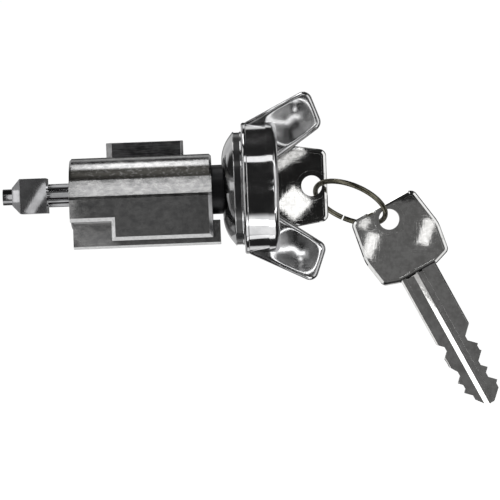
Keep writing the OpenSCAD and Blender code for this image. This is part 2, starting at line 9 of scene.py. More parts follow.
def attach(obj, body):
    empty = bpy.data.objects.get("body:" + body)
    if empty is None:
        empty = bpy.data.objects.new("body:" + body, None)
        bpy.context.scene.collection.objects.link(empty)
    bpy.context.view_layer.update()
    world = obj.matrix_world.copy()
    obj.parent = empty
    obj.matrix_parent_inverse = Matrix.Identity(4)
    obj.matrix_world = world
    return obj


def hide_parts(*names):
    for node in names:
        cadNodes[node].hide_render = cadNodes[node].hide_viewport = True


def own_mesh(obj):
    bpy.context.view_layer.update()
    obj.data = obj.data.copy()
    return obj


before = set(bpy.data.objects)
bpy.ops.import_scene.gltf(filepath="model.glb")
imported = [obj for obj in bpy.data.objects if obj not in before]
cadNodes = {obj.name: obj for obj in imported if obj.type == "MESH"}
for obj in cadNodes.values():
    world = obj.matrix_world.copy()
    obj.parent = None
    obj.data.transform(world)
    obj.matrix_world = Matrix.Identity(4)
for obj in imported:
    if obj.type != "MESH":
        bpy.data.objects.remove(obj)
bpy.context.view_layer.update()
mm = 0.001
perMm = 1000.0
scene = bpy.context.scene
scene.view_settings.view_transform = "Standard"
print("frame loaded:", len(cadNodes), "nodes")


# camera: a long lens looks straight at the lock's side, a little rolled
cameraSpec = {
    "lens": 200.0,
    "sensor": 36.0,
    "frameWidth": 125 * mm,
    "aim": (8.9 * mm, 0.0, -15.45 * mm),
    "roll": 2.2,
    "clip": (0.01, 20),
}


def placeCamera(spec):
    data = bpy.data.cameras.new("viewCamera")
    data.lens = spec["lens"]
    data.sensor_width = spec["sensor"]
    camera = bpy.data.objects.new("viewCamera", data)
    scene.collection.objects.link(camera)
    reach = spec["frameWidth"] * spec["lens"] / spec["sensor"]
    roll = math.radians(spec["roll"])
    right = Vector((math.cos(roll), 0, -math.sin(roll)))
    up = Vector((math.sin(roll), 0, math.cos(roll)))
    back = right.cross(up)
    turn = Matrix((right, up, back)).transposed().to_4x4()
    camera.matrix_world = Matrix.Translation(Vector(spec["aim"]) + back * reach) @ turn
    data.clip_start, data.clip_end = spec["clip"]
    scene.camera = camera


placeCamera(cameraSpec)


# sockets of a Mix node that mixes colours
mixShare, mixUnder, mixOver, mixResult = 0, 6, 7, 2


class Wire:
    # a socket of a node tree: arithmetic on it adds Math nodes
    def __init__(self, tree, socket=None):
        self.tree = tree
        self.socket = socket

    def make(self, kind, settings=None, inputs=None, out=0):
        node = self.tree.nodes.new(kind)
        for name, value in (settings or {}).items():
            setattr(node, name, value)
        for key, value in (inputs or {}).items():
            if isinstance(value, Wire):
                self.tree.links.new(value.socket, node.inputs[key])
            else:
                node.inputs[key].default_value = value
        return Wire(self.tree, node.outputs[out])

    def math(self, operation, *values):
        return self.make("ShaderNodeMath", {"operation": operation}, dict(enumerate(values)))

    def __add__(self, other):
        return self.math("ADD", self, other)

    def __radd__(self, other):
        return self.math("ADD", other, self)

    def __sub__(self, other):
        return self.math("SUBTRACT", self, other)

    def __rsub__(self, other):
        return self.math("SUBTRACT", other, self)

    def __mul__(self, other):
        return self.math("MULTIPLY", self, other)

    def __rmul__(self, other):
        return self.math("MULTIPLY", other, self)

    def __abs__(self):
        return self.math("ABSOLUTE", self)

    def smooth(self, low, high):
        ends = {"Value": self, "From Min": low, "From Max": high}
        return self.make("ShaderNodeMapRange", {"interpolation_type": "SMOOTHSTEP"}, ends)

    def over(self, under, colour):
        # lays a plain colour over another by this mask
        ends = {mixShare: self, mixUnder: under, mixOver: (*colour, 1)}
        return self.make("ShaderNodeMix", {"data_type": "RGBA"}, ends, mixResult)

    def shade(self, dark, light):
        # colour between two plain ones, by this value
        return self.over((*dark, 1), light)


grainRoughness = 0.55


def grain(wire, perMillimetre, stretch=(1, 1, 1), detail=3.0):
    # noise on Object coordinates, a number of grains for each millimetre
    place = wire.make("ShaderNodeTexCoord", out="Object")
    size = tuple(perMillimetre * perMm * s for s in stretch)
    place = wire.make("ShaderNodeMapping", {}, {"Vector": place, "Scale": size})
    noise = {"Vector": place, "Scale": 1.0, "Detail": detail, "Roughness": grainRoughness}
    return wire.make("ShaderNodeTexNoise", {}, noise)


def wearAndSheenMask(wire):
    # one on edges and chamfers: lightened as wear rubbed bare, and as a painted highlight on the chamfers
    # that look half forward
    return wire.make("ShaderNodeAttribute", {"attribute_name": "edge"}, out="Fac")


def newFinish(name):
    material = bpy.data.materials.new(name)
    material.use_nodes = True
    shader = material.node_tree.nodes["Principled BSDF"]
    return material, Wire(material.node_tree), shader


fedSockets = {"colour": "Base Color", "rough": "Roughness", "normal": "Normal"}


def feed(wire, shader, **links):
    for name, value in links.items():
        wire.tree.links.new(value.socket, shader.inputs[fedSockets[name]])


def relief(wire, height, depth, strength):
    return wire.make("ShaderNodeBump", {}, {"Height": height, "Strength": strength, "Distance": depth})


# painted shade: a dark band on the barrel above the rib, mottled and rougher; the steps that bound it, in
# mm, and its colour
barrelShadeSpec = {"forward": (6.4, 7.0), "low": (3.2, 3.5), "high": (5.6, 6.9), "colour": (0.055, 0.052, 0.046)}


# painted shade: darkens the barrel between the rib's step and its highlight band, mottled by grain
def paintedBarrelShade(wire, spec):
    place = wire.make("ShaderNodeTexCoord", out="Object")
    y, z = (wire.make("ShaderNodeSeparateXYZ", {}, {"Vector": place}, name) for name in "YZ")
    forward, low, high = ([edge * mm for edge in spec[name]] for name in ("forward", "low", "high"))
    strip = (0 - y).smooth(*forward) * z.smooth(*low) * (1 - z.smooth(*high))
    return strip * (0.95 - 0.35 * grain(wire, 1.6, (0.6, 1, 1), 4).smooth(0.5, 0.68))


def castZinc():
    material, wire, shader = newFinish("castZinc")
    shader.inputs["Metallic"].default_value = 1.0
    blotch = grain(wire, 0.5, (1, 1, 1), 5)
    flow = grain(wire, 1.1, (0.5, 1, 1), 3)
    pits = grain(wire, 5.0, (1, 1, 1), 2)
    wearAndSheen = wearAndSheenMask(wire) * (0.8 + 0.2 * grain(wire, 1.2).smooth(0.3, 0.6))
    tone = (blotch * 0.4 + flow * 0.35 + pits * 0.25).smooth(0.36, 0.64)
    # painted shade band on the barrel above the rib
    barrelShade = paintedBarrelShade(wire, barrelShadeSpec)
    colour = wearAndSheen.over(tone.shade((0.22, 0.22, 0.222), (0.42, 0.418, 0.415)), (0.78, 0.78, 0.785))
    colour = barrelShade.over(colour, barrelShadeSpec["colour"])
    rough = 0.14 + tone * 0.08 + pits * 0.07 - wearAndSheen * 0.03 + barrelShade * 0.12
    height = pits * 0.15 + flow * 0.2 + blotch
    feed(wire, shader, colour=colour, rough=rough, normal=relief(wire, height, 0.04 * mm, 0.8))
    return material


# painted shade: the latch's steel is coloured near black for the shade it sits in behind the barrel's top
def shadedLatchSteel():
    material, wire, shader = newFinish("shadedLatchSteel")
    shader.inputs["Metallic"].default_value = 1.0
    brushed = grain(wire, 6.0, (0.06, 1, 1), 3)
    stain = grain(wire, 0.5, (1, 1, 1), 4)
    wearAndSheen = wearAndSheenMask(wire) * (0.75 + 0.25 * grain(wire, 1.2).smooth(0.35, 0.6))
    tone = (brushed * 0.6 + stain * 0.4).smooth(0.35, 0.65)
    colour = wearAndSheen.over(tone.shade((0.05, 0.05, 0.052), (0.17, 0.17, 0.175)), (0.5, 0.5, 0.5))
    rough = 0.28 + stain * 0.16 - wearAndSheen * 0.08
    feed(wire, shader, colour=colour, rough=rough, normal=relief(wire, brushed, 0.012 * mm, 0.5))
    return material


# painted shade: the plug's neck is coloured near black for the shade between the housing and the bezel
def plugShadeBlack():
    material, wire, shader = newFinish("plugShadeBlack")
    shader.inputs["Metallic"].default_value = 0.7
    speck = grain(wire, 3.0, (1, 1, 1), 3)
    turned = grain(wire, 5.0, (1, 0.1, 0.1), 2)
    wearAndSheen = wearAndSheenMask(wire) * grain(wire, 1.5).smooth(0.4, 0.6)
    colour = wearAndSheen.over(speck.shade((0.012, 0.012, 0.013), (0.035, 0.035, 0.037)), (0.25, 0.25, 0.25))
    rough = 0.3 + speck * 0.2
    feed(wire, shader, colour=colour, rough=rough, normal=relief(wire, turned, 0.015 * mm, 0.5))
    return material


def brightChrome(name="brightChrome", dullness=0.0):
    material, wire, shader = newFinish(name)
    shader.inputs["Metallic"].default_value = 1.0
    haze = grain(wire, 0.22, (1, 1, 1), 5)
    scratch = grain(wire, 4.0, (0.05, 1, 0.6), 2).smooth(0.55, 0.75)
    ripple = grain(wire, 0.12, (1, 1, 1), 1)
    colour = haze.smooth(0.3, 0.7).shade((0.62, 0.62, 0.63), (0.78, 0.78, 0.785))
    rough = (0.07 + dullness) + haze.smooth(0.35, 0.75) * 0.06 + scratch * 0.04
    feed(wire, shader, colour=colour, rough=rough, normal=relief(wire, ripple, 0.12 * mm, 0.5))
    return material


def blackEnamel():
    material, wire, shader = newFinish("blackEnamel")
    shader.inputs["Coat Weight"].default_value = 0.6
    shader.inputs["Coat Roughness"].default_value = 0.12
    speck = grain(wire, 1.5, (1, 1, 1), 3)
    colour = speck.shade((0.006, 0.006, 0.007), (0.02, 0.02, 0.021))
    rough = 0.25 + speck * 0.25
    feed(wire, shader, colour=colour, rough=rough, normal=relief(wire, speck, 0.02 * mm, 0.3))
    return material


def nickelKey():
    material, wire, shader = newFinish("nickelKey")
    shader.inputs["Metallic"].default_value = 1.0
    haze = grain(wire, 0.25, (1, 1, 1), 5)
    rubbed = grain(wire, 5.0, (1, 1, 0.05), 2).smooth(0.5, 0.75)
    crossed = grain(wire, 5.0, (0.06, 1, 1), 2).smooth(0.55, 0.75)
    wearAndSheen = wearAndSheenMask(wire) * grain(wire, 0.8).smooth(0.25, 0.5)
    scuffs = rubbed + crossed
    tone = haze.smooth(0.3, 0.7)
    cloud = grain(wire, 0.9, (1, 1, 1), 5)
    handled = (haze * 0.5 + cloud * 0.5).smooth(0.36, 0.64) + scuffs * 0.2
    colour = wearAndSheen.over(handled.shade((0.47, 0.466, 0.456), (0.66, 0.655, 0.645)), (0.85, 0.85, 0.84))
    rough = 0.03 + tone * 0.03 + scuffs * 0.015
    height = scuffs * 0.06 + haze
    feed(wire, shader, colour=colour, rough=rough, normal=relief(wire, height, 0.02 * mm, 0.5))
    return material


def ringWire():
    material, wire, shader = newFinish("ringWire")
    shader.inputs["Metallic"].default_value = 1.0
    tarnish = grain(wire, 0.5, (1, 1, 1), 4)
    drawn = grain(wire, 4.0, (1, 1, 1), 2)
    colour = tarnish.smooth(0.3, 0.7).shade((0.1, 0.095, 0.065), (0.28, 0.265, 0.21))
    rough = 0.2 + tarnish * 0.16
    feed(wire, shader, colour=colour, rough=rough, normal=relief(wire, drawn, 0.015 * mm, 0.4))
    return material


def turnedSteel(name="turnedSteel", dark=(0.26, 0.26, 0.265), light=(0.4, 0.4, 0.41)):
    material, wire, shader = newFinish(name)
    shader.inputs["Metallic"].default_value = 1.0
    turned = grain(wire, 4.0, (1, 0.12, 0.12), 2)
    stain = grain(wire, 0.25, (1, 1, 1), 3)
    wearAndSheen = wearAndSheenMask(wire) * grain(wire, 1.5).smooth(0.3, 0.55)
    bareAndSheen = tuple(c * 1.6 for c in light)
    colour = wearAndSheen.over(stain.smooth(0.3, 0.7).shade(dark, light), bareAndSheen)
    rough = 0.05 + stain * 0.06
    feed(wire, shader, colour=colour, rough=rough, normal=relief(wire, turned, 0.004 * mm, 0.5))
    return material


def springSteel():
    material, wire, shader = newFinish("springSteel")
    shader.inputs["Metallic"].default_value = 1.0
    drawn = grain(wire, 3.0, (1, 1, 1), 3)
    colour = drawn.smooth(0.3, 0.7).shade((0.3, 0.3, 0.31), (0.52, 0.52, 0.53))
    feed(wire, shader, colour=colour, rough=0.2 + drawn * 0.2)
    return material


def pinBrass():
    material, wire, shader = newFinish("pinBrass")
    shader.inputs["Metallic"].default_value = 1.0
    turned = grain(wire, 6.0, (0.15, 0.15, 1), 2)
    tarnish = grain(wire, 0.8, (1, 1, 1), 4)
    colour = tarnish.smooth(0.3, 0.7).shade((0.5, 0.36, 0.14), (0.74, 0.58, 0.28))
    rough = 0.2 + tarnish * 0.2
    feed(wire, shader, colour=colour, rough=rough, normal=relief(wire, turned, 0.01 * mm, 0.4))
    return material


finishes = {
    "castZinc": castZinc(),
    "shadedLatchSteel": shadedLatchSteel(),
    "plugShadeBlack": plugShadeBlack(),
    "brightChrome": brightChrome(),
    "thumbChrome": brightChrome("thumbChrome", 0.07),
    "blackEnamel": blackEnamel(),
    "nickelKey": nickelKey(),
    "ringWire": ringWire(),
    "turnedSteel": turnedSteel(),
    "clipSteel": turnedSteel("clipSteel", (0.05, 0.05, 0.052), (0.14, 0.14, 0.145)),
    "springSteel": springSteel(),
    "pinBrass": pinBrass(),
}
print("finishes made:", len(finishes))


def settle(piece, body, replaced):
    # a finished piece rides on its body and stands for its nodes
    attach(piece, body)
    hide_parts(*replaced)


def linked(name, mesh, finishNames):
    piece = bpy.data.objects.new(name, mesh)
    scene.collection.objects.link(piece)
    for finishName in finishNames:
        mesh.materials.append(finishes[finishName])
    return piece


def flattened(piece):
    # bakes the piece's modifiers into a plain mesh
    bpy.context.view_layer.update()
    evaluated = piece.evaluated_get(bpy.context.evaluated_depsgraph_get())
    mesh = bpy.data.meshes.new_from_object(evaluated)
    mesh.name = piece.name
    piece.modifiers.clear()
    piece.data = mesh
    return piece


largeFaceWeight = 90


def evenNormals(piece, creaseAngle):
    # smooth shading that keeps large faces flat and creases sharp
    piece.data.shade_smooth()
    piece.data.set_sharp_from_angle(angle=math.radians(creaseAngle))
    weigh = piece.modifiers.new("weigh", "WEIGHTED_NORMAL")
    weigh.keep_sharp = True
    weigh.weight = largeFaceWeight
    return flattened(piece)


weldGap = 0.0005 * mm  # corners nearer than this are one
flatAngle = math.radians(0.5)  # faces that meet at less than this are one
sharpAngle = math.radians(25)  # edges that turn more than this get rounded
plainCrease = 42  # degrees, where a piece has no crease of its own
slantFrom, slantTo = 0.6, 0.78  # how far forward a chamfer or bevel looks
crownFrom = 0.3  # faces that look further up than this belong to the barrel's crown
bowFace = 1.12 * mm  # only the bows' faces are further out than this


def slanted(face):
    # faces of chamfers and bevels that look half forward
    return slantFrom < abs(face.normal.y) < slantTo


def sharpEdges(shape, wanted):
    for edge in shape.edges:
        if len(edge.link_faces) == 2 and edge.calc_face_angle() > sharpAngle and wanted(edge):
            yield edge


def rimEdge(edge):
    # between a bow's bevel and the flat rim inside it
    onBow = all(abs(vert.co.y) > bowFace for vert in edge.verts)
    return onBow and any(slanted(face) for face in edge.link_faces)


def anyEdge(edge):
    return True


edgeKinds = {"rim": rimEdge, "round": anyEdge}


def roundedCopy(nodeName, spec):
    # copy of a CAD node with its faces joined and its edges eased: flat rims, then all sharp edges
    shape = bmesh.new()
    shape.from_mesh(cadNodes[nodeName].data)
    bmesh.ops.remove_doubles(shape, verts=shape.verts, dist=weldGap)
    bmesh.ops.dissolve_limit(
        shape, angle_limit=flatAngle, verts=shape.verts, edges=shape.edges, delimit=set()
    )
    wearAndSheen = shape.faces.layers.float.new("edge")
    # wear and painted highlight: chamfers that look half forward, and below the bevel faces, are marked to
    # be lightened
    for face in shape.faces:
        face[wearAndSheen] = spec.get("rubbed", 0.0) * (slanted(face) and face.normal.z < crownFrom)
    for kind, wanted in edgeKinds.items():
        if kind in spec:
            flat = kind == "rim"
            made = bmesh.ops.bevel(
                shape, geom=list(sharpEdges(shape, wanted)), offset=spec[kind] * mm, offset_type="OFFSET",
                segments=1 if flat else spec["steps"], profile=0.5, affect="EDGES", clamp_overlap=not flat,
            )
            for face in made["faces"]:
                face[wearAndSheen] = 1.0
    mesh = bpy.data.meshes.new(spec["piece"])
    shape.to_mesh(mesh)
    shape.free()
    piece = evenNormals(linked(spec["piece"], mesh, [spec["finish"]]), spec.get("crease", plainCrease))
    settle(piece, spec["body"], [nodeName])
    return piece


# pieces that keep their CAD form: size of the eased edges in mm, and how bare the chamfers are, which also
# paints a highlight on the chamfers that look half forward
roundedSpecs = {
    "housing": {
        "piece": "housingCasting", "finish": "castZinc", "body": "housing", "slot": "casting",
        "round": 0.16, "steps": 3, "rubbed": 0.75,
    },
    "chamber_cover": {
        "piece": "chamberStrip", "finish": "turnedSteel", "body": "housing", "slot": "steel",
        "round": 0.12, "steps": 2,
    },
    "latch": {
        "piece": "latchPlate", "finish": "shadedLatchSteel", "body": "latch", "slot": "dark_steel",
        "round": 0.2, "steps": 3, "rubbed": 0.8,
    },
    "plug": {
        "piece": "plugCore", "finish": "plugShadeBlack", "body": "rotor", "slot": "dark_casting",
        "round": 0.05, "steps": 2,
    },
    "tail_shaft": {
        "piece": "tailShaft", "finish": "turnedSteel", "body": "rotor", "slot": "steel",
        "round": 0.12, "steps": 3,
    },
    "retaining_clip": {
        "piece": "rearClip", "finish": "clipSteel", "body": "rotor", "slot": "dark_steel",
        "round": 0.08, "steps": 2,
    },
    "key": {
        "piece": "keyInLock", "finish": "nickelKey", "body": "key", "slot": "nickel",
        "rim": 0.3, "round": 0.06, "steps": 3, "crease": 18,
    },
    "spare_key": {
        "piece": "spareKey", "finish": "nickelKey", "body": "spare", "slot": "nickel",
        "rim": 0.3, "round": 0.06, "steps": 3, "crease": 18,
    },
}
for nodeName, spec in roundedSpecs.items():
    piece = roundedCopy(nodeName, spec)
    print("rounded", piece.name, len(piece.data.polygons), "faces")


filletReach = 0.49  # share of an edge that one fillet may take


def filleted(points, steps):
    # outline of (place, radius, fillet) points with its corners rounded
    outline = []
    for i, (x, r, fillet) in enumerate(points):
        corner = Vector((x, r))
        before = Vector(points[i - 1][:2]) - corner
        after = Vector(points[(i + 1) % len(points)][:2]) - corner
        if fillet <= 0:
            outline.append(corner)
            continue
        half = before.angle(after) / 2
        back = min(fillet / math.tan(half), filletReach * before.length, filletReach * after.length)
        radius = back * math.tan(half)
        start, end = corner + before.normalized() * back, corner + after.normalized() * back
        inward = (before.normalized() + after.normalized()).normalized()
        centre = corner + inward * (radius / math.sin(half))
        fromCentre = start - centre
        sweep = fromCentre.angle_signed(end - centre)
        for k in range(steps + 1):
            a = -sweep * k / steps
            turned = Vector((
                fromCentre.x * math.cos(a) - fromCentre.y * math.sin(a),
                fromCentre.x * math.sin(a) + fromCentre.y * math.cos(a),
            ))
            outline.append(centre + turned)
    return outline


axisReach = 1e-6  # radius in mm under which a point lies on the axis


def lathe(shape, outline, turns, slots=None):
    # closed outline of (place, radius) turned about the X axis; points on the axis become poles
    rings = []
    for x, r in outline:
        if r < axisReach:
            rings.append([shape.verts.new((x * mm, 0, 0))] * turns)
        else:
            rings.append([
                shape.verts.new((
                    x * mm,
                    r * mm * math.cos(2 * math.pi * k / turns),
                    r * mm * math.sin(2 * math.pi * k / turns),
                ))
                for k in range(turns)
            ])
    for i, ring in enumerate(rings):
        after = rings[(i + 1) % len(rings)]
        for k in range(turns):
            n = (k + 1) % turns
            corners = []
            for vert in (ring[k], ring[n], after[n], after[k]):
                if vert not in corners:
                    corners.append(vert)
            if len(corners) > 2:
                face = shape.faces.new(corners)
                if slots:
                    face.material_index = slots(outline[i], outline[(i + 1) % len(outline)])
    bmesh.ops.recalc_face_normals(shape, faces=shape.faces)


# bezel: dished ring behind the knob, with a black band round its rim
bezelSpec = {
    "rear": 2.6, "front": 7.7, "hole": 6.25, "flat": 7.0, "domeEdge": 12.9, "domeRadius": 9.7,
    "rim": 14.2, "rimFrom": 5.6, "band": (5.8, 7.3), "bandDepth": 0.2, "recess": 12.7, "web": 5.5,
    "edge": 0.15, "domeFillet": 0.25, "bandEdge": 0.06, "bandRoot": 0.04, "lip": 0.1, "paintAbove": 0.5,
    "domeSteps": 10, "filletSteps": 5, "turns": 160, "crease": 40,
}


def bezelRing(spec):
    edge, bandEdge, bandRoot = spec["edge"], spec["bandEdge"], spec["bandRoot"]
    domeRadius, steps = spec["domeRadius"], spec["domeSteps"]
    centre = spec["rear"] + domeRadius
    points = [(spec["rear"], spec["hole"], edge)]
    reach = math.asin((spec["domeEdge"] - spec["flat"]) / domeRadius)
    for k in range(steps + 1):
        a = reach * k / steps
        fillet = spec["domeFillet"] if k == steps else 0
        points.append((centre - domeRadius * math.cos(a), spec["flat"] + domeRadius * math.sin(a), fillet))
    (bandFrom, bandTo), rim, low = spec["band"], spec["rim"], spec["rim"] - spec["bandDepth"]
    points += [
        (spec["rimFrom"], rim, edge), (bandFrom, rim, bandEdge), (bandFrom, low, bandRoot),
        (bandTo, low, bandRoot), (bandTo, rim, bandEdge), (spec["front"], rim, edge),
        (spec["front"], spec["recess"], spec["lip"]), (spec["web"], spec["recess"], 0),
        (spec["web"], spec["hole"], 0),
    ]

    def painted(a, b):
        # only the band's floor is painted
        inBand = max(a[1], b[1]) < low + spec["bandDepth"] / 2
        return int(inBand and min(a[1], b[1]) > spec["recess"] + spec["paintAbove"])

    shape = bmesh.new()
    lathe(shape, filleted(points, spec["filletSteps"]), spec["turns"], painted)
    mesh = bpy.data.meshes.new("bezelRing")
    shape.to_mesh(mesh)
    shape.free()
    piece = evenNormals(linked("bezelRing", mesh, ["brightChrome", "blackEnamel"]), spec["crease"])
    settle(piece, "rotor", ["bezel"])
    return piece


print("bezel made:", len(bezelRing(bezelSpec).data.polygons), "faces")


# knob: drum with a sunk band, two wings with thumb dishes, and the mouth for the key's bow
knobSpec = {
    "hub": (5.55, 12.675), "rear": 7.75, "front": 16.5, "radius": 16.4, "bandDepth": 0.3,
    "band": (8.85, 13.8), "bandEdge": 0.16, "bandRoot": 0.08, "rearFillet": 0.9, "frontFillet": 2.4,
    "corners": [((10.15, 14.623), 2.2), ((14.2, 8.168), 2.3), ((25.45, 15.9), 2.3), ((23.6, 21.3), 2.2)],
    "thick": 6.0, "round": 1.2, "dishAt": (20.408, 16.199), "dishTurn": 30.45, "dishLength": 2.0,
    "dishRadius": 11.0, "dishDepth": 1.0, "dishBlend": 0.3,
    "mouth": (9.45, 40.0, 1.5, 10.75), "bore": (4.5, 9.5, 6.2),
    "filletSteps": 8, "turns": 160, "boreTurns": 64, "spacing": 0.22, "crease": 35,
}
# rings of a wing's side from its outline inwards, close together where the edge rounds over
wingRings = [1.0, 0.994, 0.985, 0.973, 0.958, 0.94, 0.918, 0.893, 0.865, 0.83]
wingRings += [0.79 - 0.05 * k for k in range(15)]
fewestArcSteps = 6
straightSpacing = 2.5  # points on straight stretches are this many times further apart


def hullOutline(corners, spacing):
    # outline round circles at the corners, listed counter-clockwise, as points in order
    count = len(corners)
    normals = []
    for i in range(count):
        (c0, r0), (c1, r1) = corners[i], corners[(i + 1) % count]
        along = Vector(c1) - Vector(c0)
        lean = (r0 - r1) / along.length
        along.normalize()
        side = Vector((along.y, -along.x))
        normals.append(along * lean + side * math.sqrt(1 - lean * lean))
    outline = []
    for i in range(count):
        centre, radius = Vector(corners[i][0]), corners[i][1]
        a0 = math.atan2(normals[i - 1].y, normals[i - 1].x)
        a1 = math.atan2(normals[i].y, normals[i].x)
        sweep = (a1 - a0) % (2 * math.pi)
        steps = max(fewestArcSteps, int(sweep * radius / spacing))
        for k in range(steps + 1):
            a = a0 + sweep * k / steps
            outline.append(centre + radius * Vector((math.cos(a), math.sin(a))))
        nextCentre, nextRadius = corners[(i + 1) % count]
        nextStart = Vector(nextCentre) + nextRadius * normals[i]
        last = outline[-1].copy()
        run = (nextStart - last).length
        pieces = max(2, int(run / (straightSpacing * spacing)))
        for k in range(1, pieces):
            outline.append(last.lerp(nextStart, k / pieces))
    return outline


def wingHeight(spec, outline):
    # how far a wing's side stands out at a place: rounded over at the outline and sunk at the thumb dish
    step = np.roll(outline, -1, axis=0) - outline
    inward = np.stack([-step[:, 1], step[:, 0]], axis=1)
    inward /= np.linalg.norm(inward, axis=1)[:, None]
    turn = math.radians(spec["dishTurn"])
    along = np.array([math.cos(turn), math.sin(turn)])
    half, edge, blend = spec["thick"] / 2, spec["round"], spec["dishBlend"]
    reach, radius = spec["dishLength"] / 2, spec["dishRadius"]

    def height(p):
        inside = max(0.0, float(np.min(np.sum(inward * (p - outline), axis=1))))
        top = half
        if inside < edge:
            top = half - edge + edge * math.sqrt(1 - (1 - inside / edge) ** 2)
        offset = p - np.array(spec["dishAt"])
        run = float(np.clip(offset @ along, -reach, reach))
        away = float(np.linalg.norm(offset - run * along))
        sunk = math.sqrt(max(0.0, radius * radius - away * away)) - (radius - spec["dishDepth"])
        return top - blend * math.log1p(math.exp(sunk / blend))

    return height


def wingShell(shape, spec, up):
    outline = np.array([tuple(p) for p in hullOutline(spec["corners"], spec["spacing"])])
    middle = outline.mean(axis=0)
    count = len(outline)
    height = wingHeight(spec, outline)

    def corner(p, side):
        return shape.verts.new((p[0] * mm, side * height(p) * mm, up * p[1] * mm))

    rims = []
    for side in (1, -1):
        rings = []
        for share in wingRings:
            rings.append([corner(middle + (p - middle) * share, side) for p in outline])
        centre = corner(middle, side)
        for ring, after in zip(rings, rings[1:]):
            for k in range(count):
                n = (k + 1) % count
                shape.faces.new((ring[k], ring[n], after[n], after[k]))
        for k in range(count):
            shape.faces.new((rings[-1][k], rings[-1][(k + 1) % count], centre))
        rims.append(rings[0])
    for k in range(count):
        n = (k + 1) % count
        shape.faces.new((rims[0][k], rims[0][n], rims[1][n], rims[1][k]))
    bmesh.ops.remove_doubles(shape, verts=shape.verts, dist=weldGap)
    bmesh.ops.recalc_face_normals(shape, faces=shape.faces)


def scratchObject(name, fill):
    # short-lived solid for a boolean
    shape = bmesh.new()
    fill(shape)
    mesh = bpy.data.meshes.new(name)
    shape.to_mesh(mesh)
    shape.free()
    solid = bpy.data.objects.new(name, mesh)
    scene.collection.objects.link(solid)
    return solid


def boxShell(shape, low, high):
    bmesh.ops.create_cube(shape, size=1.0)
    for vert in shape.verts:
        vert.co = [least + (most - least) * (at + 0.5) for least, most, at in zip(low, high, vert.co)]


def combined(piece, tools):
    for operation, tool in tools:
        joinTool = piece.modifiers.new(tool.name, "BOOLEAN")
        joinTool.operation = operation
        joinTool.solver = "EXACT"
        joinTool.object = tool
    flattened(piece)
    for _, tool in tools:
        bpy.data.objects.remove(tool)


touching = 0.01  # mm
squareOn = 0.99  # a face that looks this far along the axis is square to it


def onDrum(face, spec):
    # the drum's own faces, and not the wings'
    middle = face.center / mm
    behindFront = middle.x < spec["front"] - touching
    return behindFront and math.hypot(middle.y, middle.z) < spec["radius"] + touching


def knobBody(spec):
    top, low = spec["radius"], spec["radius"] - spec["bandDepth"]
    (hubX, hubR), (bandFrom, bandTo) = spec["hub"], spec["band"]
    rear, front = spec["rear"], spec["front"]
    outline = filleted([
        (hubX, 0, 0), (hubX, hubR, 0), (rear, hubR, 0), (rear, top, spec["rearFillet"]),
        (bandFrom, top, spec["bandEdge"]), (bandFrom, low, spec["bandRoot"]), (bandTo, low, 0),
        (bandTo, top, 0), (front, top, spec["frontFillet"]), (front, 0, 0),
    ], spec["filletSteps"])
    drum = scratchObject("knobBody", lambda shape: lathe(shape, outline, spec["turns"]))
    mouthFrom, mouthTo, halfY, halfZ = (size * mm for size in spec["mouth"])
    mouthLow, mouthHigh = (mouthFrom, -halfY, -halfZ), (mouthTo, halfY, halfZ)
    boreFrom, boreTo, boreR = spec["bore"]
    boreOutline = [(boreFrom, 0), (boreFrom, boreR), (boreTo, boreR), (boreTo, 0)]
    combined(drum, [
        ("UNION", scratchObject("upperWing", lambda shape: wingShell(shape, spec, 1))),
        ("UNION", scratchObject("lowerWing", lambda shape: wingShell(shape, spec, -1))),
        ("DIFFERENCE", scratchObject("mouth", lambda shape: boxShell(shape, mouthLow, mouthHigh))),
        ("DIFFERENCE", scratchObject("bore", lambda shape: lathe(shape, boreOutline, spec["boreTurns"]))),
    ])
    drum.data.materials.clear()
    for finishName in ("brightChrome", "thumbChrome"):
        drum.data.materials.append(finishes[finishName])
    for face in drum.data.polygons:
        bright = onDrum(face, spec) or abs(face.normal.x) > squareOn
        face.material_index = 0 if bright else 1
    evenNormals(drum, spec["crease"])
    settle(drum, "rotor", ["knob"])
    return drum


print("knob made:", len(knobBody(knobSpec).data.polygons), "faces")


def newTree(name, inputs):
    # a Geometry Nodes tree with its named inputs, as kind and first value
    tree = bpy.data.node_groups.new(name, "GeometryNodeTree")
    tree.interface.new_socket("Geometry", in_out="OUTPUT", socket_type="NodeSocketGeometry")
    for inputName, (kind, value) in inputs.items():
        socket = tree.interface.new_socket(inputName, in_out="INPUT", socket_type="NodeSocket" + kind)
        socket.default_value = value
    return tree, tree.nodes.new("NodeGroupInput").outputs


def treeNode(tree, kind, settings, inputs):
    node = tree.nodes.new(kind)
    for name, value in settings.items():
        setattr(node, name, value)
    for key, value in inputs.items():
        if isinstance(value, bpy.types.NodeSocket):
            tree.links.new(value, node.inputs[key])
        else:
            node.inputs[key].default_value = value
    return node


def wireSkin(tree, path, radius, sides):
    # round wire along a path
    section = treeNode(tree, "GeometryNodeCurvePrimitiveCircle", {"mode": "RADIUS"}, {
        "Resolution": sides, "Radius": radius,
    })
    skin = treeNode(tree, "GeometryNodeCurveToMesh", {}, {
        "Curve": path.outputs["Curve"], "Profile Curve": section.outputs["Curve"], "Fill Caps": True,
    })
    return skin.outputs["Mesh"]


def closeTree(tree, geometry, finish):
    # a tree ends in real geometry with its finish on
    real = treeNode(tree, "GeometryNodeRealizeInstances", {}, {"Geometry": geometry})
    coated = treeNode(tree, "GeometryNodeSetMaterial", {}, {
        "Geometry": real.outputs["Geometry"], "Material": finish,
    })
    end = tree.nodes.new("NodeGroupOutput")
    tree.links.new(coated.outputs["Geometry"], end.inputs["Geometry"])
    return tree


